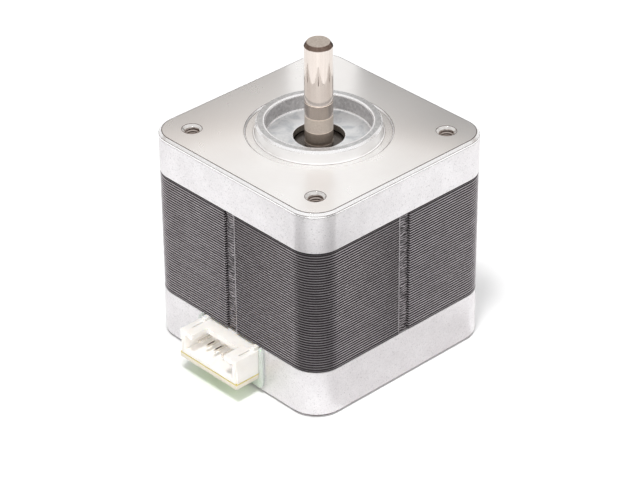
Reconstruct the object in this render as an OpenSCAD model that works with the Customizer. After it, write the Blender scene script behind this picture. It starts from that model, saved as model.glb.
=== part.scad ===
// Two-phase hybrid stepper motor of the 42 mm square frame size, with a plug-in connector.
// The origin is on the shaft's axis, in the plane of the front mounting face.
// +Z runs out along the free end of the shaft, and the connector faces -Y.

/* [Body] */
// Width of the square body across its flat sides
body_w = 42.3; // [42.0:0.1:43.2]
// Radius of the four upright corners of the body
corner_r = 5.3; // [4.6:0.1:6.0]
// Bevel round the outer edges of both covers
cover_bevel = 0.5; // [0.2:0.05:0.6]
// Height of the front cover, from the mounting face to the laminations
front_cover_h = 7.7; // [7.6:0.1:9.0]
// Height of the rear cover, from the laminations to the rear face
rear_cover_h = 9.3; // [9.2:0.1:11.0]
// Thickness of the front cover's plate over the windings
front_plate_t = 3.2; // [2.6:0.1:3.4]
// Thickness of the rear cover's plate
rear_plate_t = 1.5; // [1.0:0.1:1.6]
// Wall between the round space for the windings and the middle of each side
cover_wall = 2.55; // [2.25:0.05:2.65]

/* [Front face] */
// Distance from a side of the body to the centres of the mounting holes beside it
hole_edge = 5.65; // [5.5:0.05:5.75]
// Core diameter of the threaded mounting holes
mount_hole_d = 2.5; // [2.3:0.05:2.6]
// Depth of the threaded mounting holes
mount_hole_depth = 4.5; // [4.0:0.1:4.7]
// Diameter of the bevel at the mouth of each mounting hole
mount_mouth_d = 3.5; // [3.2:0.1:4.0]
// Diameter of the pilot ring that centres the motor
pilot_d = 22.0; // [21.8:0.05:22.2]
// Height of the pilot ring above the mounting face
pilot_h = 2.0; // [1.6:0.1:2.4]
// Bevel at the outer edge of the pilot ring
pilot_bevel = 0.35; // [0.2:0.05:0.5]
// Outer diameter of the shallow turned groove round the pilot ring
face_groove_d = 26.0; // [25.0:0.2:27.0]
// Depth of the turned groove round the pilot ring
face_groove_depth = 0.3; // [0.15:0.05:0.5]
// Diameter of the round recess inside the pilot ring
recess_d = 18.5; // [18.0:0.1:19.0]
// Depth of the recess below the top of the pilot ring
recess_depth = 3.0; // [2.6:0.1:3.2]
// Diameter of the opening round the shaft, in both covers
shaft_hole_d = 9.0; // [8.6:0.1:9.6]
// Thickness of the web between the recess and the front bearing
front_web_t = 1.2; // [0.9:0.1:1.3]

/* [Laminations] */
// Number of laminations in the stack
lam_count = 48; // [46:1:52]
// Thickness of one lamination
lam_t = 0.5; // [0.48:0.01:0.54]
// How far the laminations stand back from the sides of the covers
stack_inset = 0.15; // [0.05:0.05:0.3]
// Width of the upright notch in the middle of each side
side_notch_w = 2.7; // [2.0:0.1:3.4]
// Depth of the upright notch
side_notch_depth = 0.5; // [0.3:0.05:0.8]
// Width of each pole between two windings, as a share of the rotor's diameter
pole_share = 0.182; // [0.164:0.002:0.19]
// Number of poles round the bore
pole_count = 8; // [8:1:8]
// Number of teeth on each pole
pole_teeth = 6; // [4:1:6]
// Depth of the notches between the teeth of a pole
pole_tooth_depth = 0.5; // [0.3:0.05:0.7]
// Radial thickness of a pole's shoe, with its teeth
shoe_t = 1.34; // [1.1:0.02:1.5]
// Width of the yoke, from the outer ends of the winding slots to the side
yoke_w = 3.8; // [3.4:0.05:3.9]

/* [Rotor] */
// Diameter of the rotor over its teeth, as a share of the body's width
rotor_share = 0.52; // [0.51:0.001:0.525]
// Radial gap between the rotor and the poles
air_gap = 0.06; // [0.05:0.01:0.1]
// Number of teeth on each rotor cup
rotor_teeth = 50; // [48:1:50]
// Depth of the rotor's tooth gaps
rotor_tooth_depth = 0.6; // [0.4:0.05:0.8]
// Length of the front spacer sleeve, between the front bearing and the rotor
front_spacer_h = 1.7; // [1.5:0.1:2.3]
// Height of the magnet between the cups
magnet_h = 2.4; // [2.0:0.1:2.6]
// How far the magnet stands back from the tips of the rotor's teeth
magnet_rim = 2.0; // [1.5:0.1:3.0]
// Depth of the ring-shaped relief in the outer face of each cup
cup_relief_depth = 1.0; // [0.5:0.1:2.0]
// How far the spacer sleeves stand back from the rims of the bearings' inner rings
spacer_step = 0.4; // [0.3:0.05:0.8]

/* [Shaft] */
// Diameter of the shaft
shaft_d = 5.0; // [4.8:0.05:5.1]
// Length of the shaft in front of the mounting face
shaft_out = 17.3; // [14.0:0.1:24.0]
// Radial width of the bevel at the output end of the shaft
shaft_bevel = 0.5; // [0.2:0.05:0.8]
// Length of the bevel at the output end of the shaft
shaft_bevel_len = 0.8; // [0.2:0.05:1.0]
// How far the shaft's bevelled tail runs past the rear bearing
shaft_tail = 0.3; // [0.2:0.05:0.6]
// Width of the grinding relief between the shaft's output end and the front bearing's seat
shaft_relief_w = 0.6; // [0.55:0.05:0.8]
// Depth of the grinding relief
shaft_relief_depth = 0.2; // [0.18:0.01:0.25]
// Distance of the grinding relief from the front bearing
shaft_relief_rise = 0.3; // [0.1:0.05:0.4]

/* [Bearings] */
// Outer diameter of each ball bearing
bearing_d = 16.0; // [15.9:0.05:16.2]
// Width of each ball bearing
bearing_w = 5.0; // [4.8:0.1:5.1]
// Diameter of a ball, as a share of the radial space between the shaft and the bearing's rim
ball_share = 0.505; // [0.48:0.005:0.52]
// Number of balls in a bearing
ball_count = 8; // [6:1:9]
// Clearance between a ball and its grooves
ball_clearance = 0.03; // [0.02:0.01:0.05]
// Radial thickness of the inner ring, as a share of the same space
inner_ring_share = 0.31; // [0.29:0.01:0.33]
// Radial thickness of the outer ring, as a share of the same space
outer_ring_share = 0.32; // [0.3:0.01:0.34]
// Thickness of a bearing shield
shield_t = 0.25; // [0.2:0.05:0.35]
// How far a shield lies inside the bearing's face
shield_inset = 0.1; // [0.05:0.05:0.2]
// Radial gap between a shield and the inner ring
shield_gap = 0.25; // [0.15:0.05:0.35]
// Radial thickness of the ball cage, as a share of the same space
cage_share = 0.18; // [0.15:0.01:0.2]
// Width of the ball cage's rims above and below its pockets
cage_rim = 0.36; // [0.3:0.02:0.4]
// Wall round each bearing seat
seat_wall = 1.9; // [1.5:0.1:2.1]
// Free height of the wave washer under the rear bearing
wave_h = 0.7; // [0.5:0.05:0.8]
// Radial width of the wave washer, as a share of the space between the shaft and the bearing's rim
wave_share = 0.42; // [0.36:0.02:0.44]
// Sheet thickness of the wave washer
wave_t = 0.3; // [0.2:0.05:0.35]
// Number of waves in the wave washer
wave_count = 3; // [3:1:4]

/* [Tie screws] */
// Diameter of the tie screws' shanks
screw_d = 3.0; // [2.8:0.05:3.1]
// Hole in the front cover for the tie screws' threads
tie_tap_d = 2.9; // [2.85:0.05:2.95]
// Clearance hole for the tie screws
screw_hole_d = 3.3; // [3.2:0.05:3.4]
// Diameter of the screw heads
screw_head_d = 5.2; // [4.8:0.1:5.4]
// Height of the screw heads
screw_head_h = 1.9; // [1.6:0.1:2.0]
// Diameter of the counterbores for the heads
counterbore_d = 5.7; // [5.5:0.05:5.8]
// Depth of the counterbores
counterbore_depth = 2.1; // [2.05:0.05:2.4]
// Length of screw thread in the front cover
screw_grip = 2.4; // [1.8:0.1:2.5]
// Width of the arms of the cross recess in a screw head
cross_w = 0.8; // [0.6:0.05:1.0]
// Length of the arms of the cross recess
cross_len = 3.0; // [2.4:0.1:3.4]
// Depth of the cross recess
cross_depth = 1.2; // [0.8:0.1:1.4]

/* [Windings] */
// Thickness of the insulator's arms on the ends of the poles
arm_t = 0.8; // [0.6:0.05:1.0]
// Thickness of the insulator's skirts beside the poles
skirt_t = 0.4; // [0.3:0.05:0.5]
// Depth of the skirts into the winding slots
skirt_depth = 4.0; // [3.0:0.5:8.0]
// Thickness of the layer of wire on each side of a pole
coil_t = 2.0; // [1.5:0.1:2.2]
// Radius of the coils' rounded outer corners
coil_corner_r = 1.6; // [1.0:0.1:1.9]
// Height of the insulators' outer wall above the laminations
insulator_h = 3.4; // [3.0:0.1:3.5]
// Radial thickness of the insulators' outer wall
insulator_wall = 1.35; // [1.0:0.05:1.4]
// Thickness of the insulators' inner lips
lip_t = 0.6; // [0.5:0.05:0.7]
// Width of the insulators' inner lips
lip_w = 7.0; // [6.0:0.2:8.0]
// Height of the inner lips above the laminations
lip_h = 3.0; // [2.5:0.1:3.2]
// Slack between a coil and the insulators round it
coil_slack = 0.05; // [0.02:0.01:0.1]

/* [Connector] */
// Number of pins in the connector
pin_count = 6; // [4:1:6]
// Distance between neighbouring pins
pin_pitch = 2.0; // [1.9:0.05:2.05]
// Thickness of a square pin
pin_w = 0.5; // [0.4:0.05:0.6]
// Distance from the middle of an outer pin to the end of the housing beside it
header_end = 2.25; // [2.0:0.05:2.4]
// Depth of the connector's housing, front to back
header_depth = 7.6; // [7.2:0.1:7.8]
// Height of the connector's housing
header_h = 4.7; // [4.5:0.1:4.8]
// How far the housing stands out of the side of the body
header_out = 5.6; // [5.2:0.1:6.0]
// Gap between the laminations and the top of the housing
header_drop = 0.6; // [0.5:0.05:0.8]
// Thickness of the housing's end walls
header_end_wall = 1.1; // [0.8:0.1:1.3]
// Thickness of the housing's top wall
header_top_wall = 0.95; // [0.7:0.05:1.0]
// Thickness of the housing's bottom wall
header_floor = 0.8; // [0.6:0.05:0.9]
// Thickness of the housing's back wall
header_back_wall = 1.8; // [1.4:0.1:2.2]
// Width of the window in the housing's top wall
window_w = 8.2; // [7.8:0.1:8.8]
// Depth of the window, from the mouth back
window_depth = 3.4; // [3.0:0.1:3.8]
// Height of the pins' centres above the board
pin_height = 1.9; // [1.8:0.05:2.1]
// How far the pins' tips stand back from the mouth
pin_recess = 2.2; // [2.0:0.1:3.0]
// Thickness of the board under the connector
board_t = 1.0; // [0.8:0.1:1.1]
// How far the board reaches past the housing's sides and mouth
board_margin = 0.05; // [0.02:0.01:0.1]
// Gap between each end of the housing and the cut-out in the rear cover
cutout_gap = 0.55; // [0.45:0.05:0.8]
// How far the bezel's flange overlaps the rear cover round the cut-out
flange_overlap = 0.45; // [0.3:0.05:0.6]
// Thickness of the bezel's flange
flange_t = 0.5; // [0.4:0.05:0.7]

/* [Hidden] */
$fn = 64;
// One overrun for every cut
over = 0.5;
// Clearance of plastic pieces that slip into each other
slip = 0.05;

// Radial space between the shaft and a bearing's rim
ring_space = (bearing_d - shaft_d) / 2;
inner_ring_t = ring_space * inner_ring_share;
outer_ring_t = ring_space * outer_ring_share;
ball_d = ring_space * ball_share;
cage_t = ring_space * cage_share;
cage_h = ball_d + 2 * cage_rim;

// Sizes that follow the body's width
hole_spacing = body_w - 2 * hole_edge;
cavity_r = body_w / 2 - cover_wall;
slot_r = body_w / 2 - stack_inset - yoke_w;
rotor_d = body_w * rotor_share;
pole_w = rotor_d * pole_share;
magnet_d = rotor_d - 2 * magnet_rim;

// Levels along the shaft, from the front down
stack_h = lam_count * lam_t;
stack_top = -front_cover_h;
stack_bottom = stack_top - stack_h;
rear_face = stack_bottom - rear_cover_h;
cavity_floor = rear_face + rear_plate_t;
recess_floor = pilot_h - recess_depth;
front_bearing_top = recess_floor - front_web_t;
rear_bearing_bottom = cavity_floor + wave_h;
rear_bearing_top = rear_bearing_bottom + bearing_w;
shaft_bottom = rear_bearing_bottom - shaft_tail;
shaft_relief_bottom = front_bearing_top + shaft_relief_rise;
shaft_relief_top = shaft_relief_bottom + shaft_relief_w;
stack_middle = (stack_top + stack_bottom) / 2;
magnet_bottom = stack_middle - magnet_h / 2;
magnet_top = magnet_bottom + magnet_h;
front_cup_top = front_bearing_top - bearing_w - front_spacer_h;
cup_h = front_cup_top - magnet_top;
rear_cup_bottom = magnet_bottom - cup_h;

// Bearing radii
shaft_r = shaft_d / 2;
inner_ring_r = shaft_r + inner_ring_t;
race_r = bearing_d / 2 - outer_ring_t;
pitch_r = (inner_ring_r + race_r) / 2;
groove_r = ball_d / 2 + ball_clearance;
shield_seat_step = 0.5;
shield_seat_r = race_r + shield_seat_step;
cage_pocket_clearance = 0.05;
seat_r = bearing_d / 2 + seat_wall;
spacer_d = 2 * (inner_ring_r - spacer_step);

// Rotor and stator
bore_r = rotor_d / 2 + air_gap;
shoe_r = bore_r + shoe_t;
tooth_pitch = 360 / rotor_teeth;
tooth_share = 0.45;
pole_pitch = 360 / pole_count;
shoe_half_angle = (pole_teeth - 1 + tooth_share) * tooth_pitch / 2;
slot_mouth_w = 2 * bore_r * sin(pole_pitch / 2 - shoe_half_angle);
tooth_gap_w = 2 * bore_r * sin((1 - tooth_share) * tooth_pitch / 2);
stack_w = body_w - 2 * stack_inset;
stack_corner_r = corner_r - stack_inset;

// Relief in the cups' outer faces, between the spacer and the toothed rim
relief_rim = 1.2;
relief_inner_r = spacer_d / 2 + relief_rim;
relief_outer_r = rotor_d / 2 - rotor_tooth_depth - relief_rim;

// Wound coils, seen along the axis of their pole
coil_inner_w = pole_w + 2 * skirt_t + 2 * coil_slack;
coil_inner_h = stack_h + 2 * arm_t + 2 * coil_slack;
lip_share = 0.6;
lip_inner_r = shoe_r - lip_t * lip_share;
coil_inner_r = lip_inner_r + lip_t + coil_slack;
insulator_slack = 0.3;
insulator_outer_r = cavity_r - insulator_slack;
insulator_inner_r = insulator_outer_r - insulator_wall;
coil_half_w = coil_inner_w / 2 + coil_t;
coil_outer_r = sqrt(pow(min(slot_r, insulator_inner_r) - coil_slack, 2) - pow(coil_half_w, 2));
arm_r = insulator_inner_r + insulator_wall / 2;
skirt_outer_r = sqrt(pow(slot_r - coil_slack, 2) - pow(pole_w / 2 + skirt_t, 2));

// Tie screws
screw_place = hole_spacing / 2;
screw_head_seat = rear_face + counterbore_depth;
core_clearance = 0.02;
screw_core_d = tie_tap_d - 2 * core_clearance;
tap_spare = 0.2;
tap_depth = screw_grip + tap_spare;

// Connector
pin_row_half = (pin_count - 1) * pin_pitch / 2;
header_w = 2 * (pin_row_half + header_end);
cutout_w = header_w + 2 * cutout_gap;
header_top = stack_bottom - header_drop;
header_bottom = header_top - header_h;
header_front = -body_w / 2 - header_out;
header_back = header_front + header_depth;
cavity_back = header_back - header_back_wall;
board_bottom = header_bottom - board_t;
board_front = header_front - board_margin;
board_w = header_w + 2 * board_margin;
pin_level = header_bottom + pin_height;
pin_tip = header_front + pin_recess;
pin_bend = header_back + pin_w;
pin_tail = 0.55;
lead_hole_d = 0.8;
lead_row = pin_bend - pin_w / 2;
post_offset = 1.5;
post_row = lead_row + post_offset;
solder_h = 0.4;
solder_foot_r = 0.7;
solder_tip_r = 0.4;
board_shoulder = 3.9;
board_inner_half = cutout_w / 2 + board_shoulder;
board_clearance = 0.5;
board_edge_r = cavity_r - board_clearance;
support_r = 1.0;
support_x = (cutout_w + board_clearance) / 2 + support_r;
support_y = -sqrt(pow(board_edge_r - support_r, 2) - pow(support_x, 2));
bezel_gap = board_margin + slip;
bezel_window_w = header_w + 2 * bezel_gap;
bezel_plug_w = cutout_w - 2 * slip;
bezel_plug_depth = 1.1;
bezel_top = stack_bottom - slip;
flange_w = cutout_w + 2 * flange_overlap;
flange_bottom = cavity_floor - flange_overlap;
flange_corner_r = 1.1;

// A round hole or bar that starts at a level and runs up
module upright(r, bottom, top) {
    translate([0, 0, bottom])
        cylinder(r = r, h = top - bottom);
}

// A tube between two levels
module tube(outer_r, inner_r, bottom, top) {
    difference() {
        upright(outer_r, bottom, top);
        upright(inner_r, bottom - over, top + over);
    }
}

// A copy at each corner of the screw square
module at_corners() {
    for (x = [-1, 1], y = [-1, 1])
        translate([x * screw_place, y * screw_place, 0])
            children();
}

// A rectangle with round corners, centred on the origin
module round_rect(w, h, r) {
    square([w - 2 * r, h], center = true);
    square([w, h - 2 * r], center = true);
    for (x = [-1, 1], y = [-1, 1])
        translate([x * (w / 2 - r), y * (h / 2 - r)])
            circle(r = r);
}

// Section of a cover's side, from its middle out, with a bevel at one end
module side_section(half_w, h, bevel) {
    polygon([[0, 0], [half_w, 0], [half_w, h - bevel], [half_w - bevel, h], [0, h]]);
}

// Square block with round upright corners and a bevel round its top
module cover_block(w, r, h, bevel) {
    flat = w - 2 * r;
    for (turn = [0 : 90 : 270])
        rotate([0, 0, turn])
            translate([0, flat / 2, 0])
                rotate([90, 0, 0])
                    linear_extrude(height = flat)
                        side_section(w / 2, h, bevel);
    for (x = [-1, 1], y = [-1, 1])
        translate([x * flat / 2, y * flat / 2, 0])
            rotate_extrude()
                side_section(r, h, bevel);
}

// Pilot ring in section, from its inner wall out
module pilot_section() {
    polygon([
        [recess_d / 2 - over, -over],
        [pilot_d / 2, -over],
        [pilot_d / 2, pilot_h - pilot_bevel],
        [pilot_d / 2 - pilot_bevel, pilot_h],
        [recess_d / 2 - over, pilot_h]
    ]);
}

// Turned groove in section, with a sloping outer wall
module face_groove_section() {
    polygon([
        [pilot_d / 2, -face_groove_depth],
        [face_groove_d / 2 - face_groove_depth, -face_groove_depth],
        [face_groove_d / 2, 0],
        [face_groove_d / 2, over],
        [pilot_d / 2, over]
    ]);
}

module front_cover() {
    color("gainsboro")
    difference() {
        union() {
            difference() {
                translate([0, 0, stack_top])
                    cover_block(body_w, corner_r, front_cover_h, cover_bevel);
                upright(cavity_r, stack_top - over, -front_plate_t);
                rotate_extrude()
                    face_groove_section();
            }
            upright(seat_r, stack_top + slip, -front_plate_t + over);
            rotate_extrude()
                pilot_section();
        }
        upright(recess_d / 2, recess_floor, pilot_h + over);
        upright(shaft_hole_d / 2, front_bearing_top - over, recess_floor + over);
        upright(bearing_d / 2, stack_top - over, front_bearing_top);
        at_corners() {
            upright(mount_hole_d / 2, -mount_hole_depth, over);
            mouth_bevel();
            upright(tie_tap_d / 2, stack_top - over, stack_top + tap_depth);
        }
    }
}

// Bevel at the mouth of a mounting hole
module mouth_bevel() {
    mouth_depth = (mount_mouth_d - mount_hole_d) / 2;
    translate([0, 0, -mouth_depth])
        cylinder(r1 = mount_hole_d / 2, r2 = mount_mouth_d / 2 + over, h = mouth_depth + over);
}

module rear_cover() {
    color("gainsboro")
    difference() {
        union() {
            difference() {
                mirror([0, 0, 1])
                    translate([0, 0, -stack_bottom])
                        cover_block(body_w, corner_r, rear_cover_h, cover_bevel);
                upright(cavity_r, cavity_floor, stack_bottom + over);
                translate([-cutout_w / 2, -body_w / 2 - over, cavity_floor])
                    cube([cutout_w, body_w / 2 + over - seat_r, rear_cover_h]);
            }
            upright(seat_r, cavity_floor - over, rear_bearing_top);
            for (x = [-1, 1])
                translate([x * support_x, support_y, 0])
                    upright(support_r, cavity_floor - over, board_bottom);
        }
        upright(bearing_d / 2, cavity_floor, rear_bearing_top + over);
        upright(shaft_hole_d / 2, rear_face - over, cavity_floor + over);
        at_corners() {
            upright(screw_hole_d / 2, rear_face - over, stack_bottom + over);
            upright(counterbore_d / 2, rear_face - over, screw_head_seat);
        }
    }
}

// Outline of one lamination
module lamination() {
    difference() {
        round_rect(stack_w, stack_w, stack_corner_r);
        circle(r = bore_r);
        winding_slots();
        for (i = [0 : pole_count - 1])
            rotate(i * pole_pitch)
                pole_gaps();
        for (turn = [0 : 90 : 270])
            rotate(turn)
                translate([stack_w / 2 - side_notch_depth, -side_notch_w / 2])
                    square([side_notch_depth + over, side_notch_w]);
        for (x = [-1, 1], y = [-1, 1])
            translate([x * screw_place, y * screw_place])
                circle(d = screw_hole_d);
    }
}

// The ring of winding slots, with the poles left standing in it
module winding_slots() {
    difference() {
        circle(r = slot_r);
        circle(r = shoe_r);
        for (i = [0 : pole_count - 1])
            rotate(i * pole_pitch)
                translate([0, -pole_w / 2])
                    square([slot_r + over, pole_w]);
    }
}

// The gaps between one pole's teeth, and the slot's mouth beside it
module pole_gaps() {
    for (k = [1 : pole_teeth - 1])
        rotate((k - pole_teeth / 2) * tooth_pitch)
            translate([bore_r - over, -tooth_gap_w / 2])
                square([pole_tooth_depth + over, tooth_gap_w]);
    rotate(pole_pitch / 2)
        translate([bore_r - over, -slot_mouth_w / 2])
            square([shoe_t + 2 * over, slot_mouth_w]);
}

module stator_core() {
    color("dimgray")
    translate([0, 0, stack_bottom])
        linear_extrude(height = stack_h)
            lamination();
}

// One moulded insulator, standing on z = 0 with its skirts below
module insulator() {
    tube(insulator_outer_r, insulator_inner_r, 0, insulator_h);
    for (i = [0 : pole_count - 1])
        rotate([0, 0, i * pole_pitch]) {
            translate([lip_inner_r, -pole_w / 2 - skirt_t, 0])
                cube([arm_r - lip_inner_r, pole_w + 2 * skirt_t, arm_t]);
            translate([lip_inner_r, -lip_w / 2, 0])
                cube([lip_t, lip_w, lip_h]);
            for (side = [0, 1])
                mirror([0, side, 0])
                    translate([shoe_r + slip, pole_w / 2, -skirt_depth])
                        cube([skirt_outer_r - shoe_r - slip, skirt_t, skirt_depth + arm_t]);
        }
}

module front_insulator() {
    color("white")
    translate([0, 0, stack_top])
        insulator();
}

module rear_insulator() {
    color("white")
    translate([0, 0, stack_bottom])
        mirror([0, 0, 1])
            insulator();
}

// A coil round the pole that points along +X
module coil() {
    translate([coil_inner_r, 0, stack_middle])
        rotate([90, 0, 90])
            linear_extrude(height = coil_outer_r - coil_inner_r)
                difference() {
                    round_rect(coil_inner_w + 2 * coil_t, coil_inner_h + 2 * coil_t, coil_corner_r);
                    square([coil_inner_w, coil_inner_h], center = true);
                }
}

// Every other coil round the bore, beginning with the given pole
module phase(first) {
    for (i = [first : 2 : pole_count - 1])
        rotate([0, 0, i * pole_pitch])
            coil();
}

module phase_a_windings() {
    color("peru")
    phase(0);
}

module phase_b_windings() {
    color("sienna")
    phase(1);
}

module tie_screws() {
    color("silver")
    at_corners()
        difference() {
            union() {
                upright(screw_head_d / 2, screw_head_seat - screw_head_h, screw_head_seat);
                upright(screw_d / 2, screw_head_seat - over, stack_top);
                upright(screw_core_d / 2, stack_top - over, stack_top + screw_grip);
            }
            for (turn = [0, 90])
                rotate([0, 0, turn])
                    translate([-cross_len / 2, -cross_w / 2, screw_head_seat - screw_head_h - over])
                        cube([cross_len, cross_w, cross_depth + over]);
        }
}

// Places of the pins along the connector
function pin_places() = [for (i = [0 : pin_count - 1]) i * pin_pitch - pin_row_half];

module connector_housing() {
    mouth_w = header_w - 2 * header_end_wall;
    mouth_h = header_h - header_top_wall - header_floor;
    rib_w = 1.0;
    rib_inset = 0.4;
    groove_w = 0.25;
    groove_depth = 0.35;
    groove_len = 2.6;
    rib_len = 3.0;
    groove_gap = 0.2;
    groove_back = header_back - rib_len - groove_gap;
    rib_x = header_w / 2 - rib_inset - rib_w;
    groove_x = header_w / 2 - header_end_wall - groove_w;
    step_h = 2.6;
    step_w = 0.3;
    color("ivory")
    difference() {
        union() {
            translate([-header_w / 2, header_front, header_bottom])
                cube([header_w, header_depth, header_h]);
            for (side = [0, 1])
                mirror([side, 0, 0])
                    translate([rib_x, header_back - rib_len, header_top - over])
                        cube([rib_w, rib_len, header_drop + over - slip]);
        }
        translate([-mouth_w / 2, header_front - over, header_bottom + header_floor])
            cube([mouth_w, cavity_back - header_front + over, mouth_h]);
        translate([-window_w / 2, header_front - over, header_top - header_top_wall - over])
            cube([window_w, window_depth + over, header_top_wall + 2 * over]);
        for (side = [0, 1])
            mirror([side, 0, 0]) {
                translate([groove_x, groove_back - groove_len, header_top - groove_depth])
                    cube([groove_w, groove_len, groove_depth + over]);
                translate([header_w / 2 - step_w, header_front - over, header_bottom - over])
                    cube([step_w + over, step_w + over, step_h + over]);
            }
        for (x = pin_places())
            translate([x - pin_w / 2 - slip, cavity_back - over, pin_level - pin_w / 2 - slip])
                cube([pin_w + 2 * slip, header_back_wall + 2 * over, pin_w + 2 * slip]);
    }
}

module connector_pins() {
    color("silver")
    for (x = pin_places())
        translate([x - pin_w / 2, 0, 0]) {
            translate([0, pin_tip, pin_level - pin_w / 2])
                cube([pin_w, pin_bend - pin_tip, pin_w]);
            translate([0, pin_bend - pin_w, board_bottom - pin_tail])
                cube([pin_w, pin_w, pin_level + pin_w / 2 - board_bottom + pin_tail]);
        }
}

// Outline of the board: a tongue under the connector, and a wider part inside the cover
module board_outline() {
    difference() {
        union() {
            translate([-board_w / 2, board_front])
                square([board_w, -board_front]);
            intersection() {
                circle(r = board_edge_r);
                translate([-board_inner_half, -cavity_r])
                    square([2 * board_inner_half, cavity_r]);
            }
        }
        circle(r = seat_r + board_clearance);
        translate([-body_w / 2, -seat_r])
            square([body_w, body_w / 2]);
        for (x = pin_places(), y = [lead_row, post_row])
            translate([x, y])
                circle(d = lead_hole_d);
    }
}

module connector_board() {
    color("darkseagreen")
    translate([0, 0, board_bottom])
        linear_extrude(height = board_t)
            board_outline();
}

module connector_bezel() {
    flange_h = bezel_top - flange_bottom;
    color("honeydew", 0.8)
    difference() {
        union() {
            translate([0, -body_w / 2, (bezel_top + flange_bottom) / 2])
                rotate([90, 0, 0])
                    linear_extrude(height = flange_t)
                        round_rect(flange_w, flange_h, flange_corner_r);
            translate([-bezel_plug_w / 2, -body_w / 2 - slip, cavity_floor + slip])
                cube([bezel_plug_w, bezel_plug_depth + slip, bezel_top - cavity_floor - slip]);
        }
        translate([-bezel_window_w / 2, -body_w / 2 - flange_t - over, board_bottom - slip])
            cube([bezel_window_w, flange_t + bezel_plug_depth + 2 * over, stack_h]);
    }
}

module terminal_posts() {
    color("silver")
    for (x = pin_places())
        translate([x - pin_w / 2, post_row - pin_w / 2, board_bottom - pin_tail])
            cube([pin_w, pin_w, stack_bottom - insulator_h - board_bottom + pin_tail]);
}

// Solder cone round each square lead under the board
module solder_joints() {
    color("lightgray")
    for (x = pin_places(), y = [lead_row, post_row])
        translate([x, y, board_bottom - solder_h])
            difference() {
                cylinder(r1 = solder_tip_r, r2 = solder_foot_r, h = solder_h);
                translate([0, 0, solder_h / 2])
                    cube([pin_w, pin_w, solder_h + 2 * over], center = true);
            }
}

// The rolling groove of both rings, round a bearing centred on z = 0
module ball_track() {
    rotate_extrude()
        translate([pitch_r, 0])
            circle(r = groove_r);
}

module outer_ring() {
    seat_depth = shield_inset + shield_t;
    difference() {
        upright(bearing_d / 2, -bearing_w / 2, bearing_w / 2);
        upright(race_r, -bearing_w, bearing_w);
        upright(shield_seat_r, bearing_w / 2 - seat_depth, bearing_w);
        upright(shield_seat_r, -bearing_w, seat_depth - bearing_w / 2);
        ball_track();
    }
}

module inner_ring() {
    difference() {
        tube(inner_ring_r, shaft_r, -bearing_w / 2, bearing_w / 2);
        ball_track();
    }
}

module shields() {
    for (side = [0, 1])
        mirror([0, 0, side])
            translate([0, 0, bearing_w / 2 - shield_inset - shield_t])
                tube(shield_seat_r, inner_ring_r + shield_gap, 0, shield_t);
}

module balls() {
    for (i = [0 : ball_count - 1])
        rotate([0, 0, i * 360 / ball_count])
            translate([pitch_r, 0, 0])
                sphere(d = ball_d);
}

module cage() {
    difference() {
        tube(pitch_r + cage_t / 2, pitch_r - cage_t / 2, -cage_h / 2, cage_h / 2);
        for (i = [0 : ball_count - 1])
            rotate([0, 90, i * 360 / ball_count])
                upright(ball_d / 2 + cage_pocket_clearance, 0, bearing_d / 2);
    }
}

module at_front_bearing() {
    translate([0, 0, front_bearing_top - bearing_w / 2])
        children();
}

module at_rear_bearing() {
    translate([0, 0, rear_bearing_bottom + bearing_w / 2])
        children();
}

module front_bearing_outer_ring() {
    color("lightsteelblue")
    at_front_bearing()
        outer_ring();
}

module rear_bearing_outer_ring() {
    color("lightsteelblue")
    at_rear_bearing()
        outer_ring();
}

module front_bearing_inner_ring() {
    color("slategray")
    at_front_bearing()
        inner_ring();
}

module rear_bearing_inner_ring() {
    color("slategray")
    at_rear_bearing()
        inner_ring();
}

module front_bearing_shields() {
    color("darkgray")
    at_front_bearing()
        shields();
}

module rear_bearing_shields() {
    color("darkgray")
    at_rear_bearing()
        shields();
}

module front_bearing_balls() {
    color("white")
    at_front_bearing()
        balls();
}

module rear_bearing_balls() {
    color("white")
    at_rear_bearing()
        balls();
}

module front_bearing_cage() {
    color("goldenrod")
    at_front_bearing()
        cage();
}

module rear_bearing_cage() {
    color("goldenrod")
    at_rear_bearing()
        cage();
}

// Height of the middle of the wave washer's sheet at an angle
function wave_z(a) = wave_h / 2 + (wave_h - wave_t) / 2 * cos(wave_count * a);

module wave_washer() {
    steps = 48;
    washer_rim = 0.4;
    wave_outer_r = bearing_d / 2 - washer_rim;
    wave_inner_r = wave_outer_r - ring_space * wave_share;
    section = [[wave_inner_r, -1], [wave_outer_r, -1], [wave_outer_r, 1], [wave_inner_r, 1]];
    corners = [for (i = [0 : steps - 1], c = section)
        let (a = i * 360 / steps)
        [c[0] * cos(a), c[0] * sin(a), wave_z(a) + c[1] * wave_t / 2]];
    sides = [for (i = [0 : steps - 1], k = [0 : 3])
        let (j = (i + 1) % steps, m = (k + 1) % 4)
        each [[4 * i + k, 4 * j + m, 4 * j + k], [4 * i + k, 4 * i + m, 4 * j + m]]];
    color("steelblue")
    translate([0, 0, cavity_floor])
        polyhedron(points = corners, faces = sides);
}

module shaft() {
    color("silver")
    rotate_extrude()
        polygon([
            [0, shaft_bottom],
            [shaft_r - shaft_tail, shaft_bottom],
            [shaft_r, shaft_bottom + shaft_tail],
            [shaft_r, shaft_relief_bottom],
            [shaft_r - shaft_relief_depth, shaft_relief_bottom],
            [shaft_r - shaft_relief_depth, shaft_relief_top],
            [shaft_r, shaft_relief_top],
            [shaft_r, shaft_out - shaft_bevel_len],
            [shaft_r - shaft_bevel, shaft_out],
            [0, shaft_out]
        ]);
}

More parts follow.
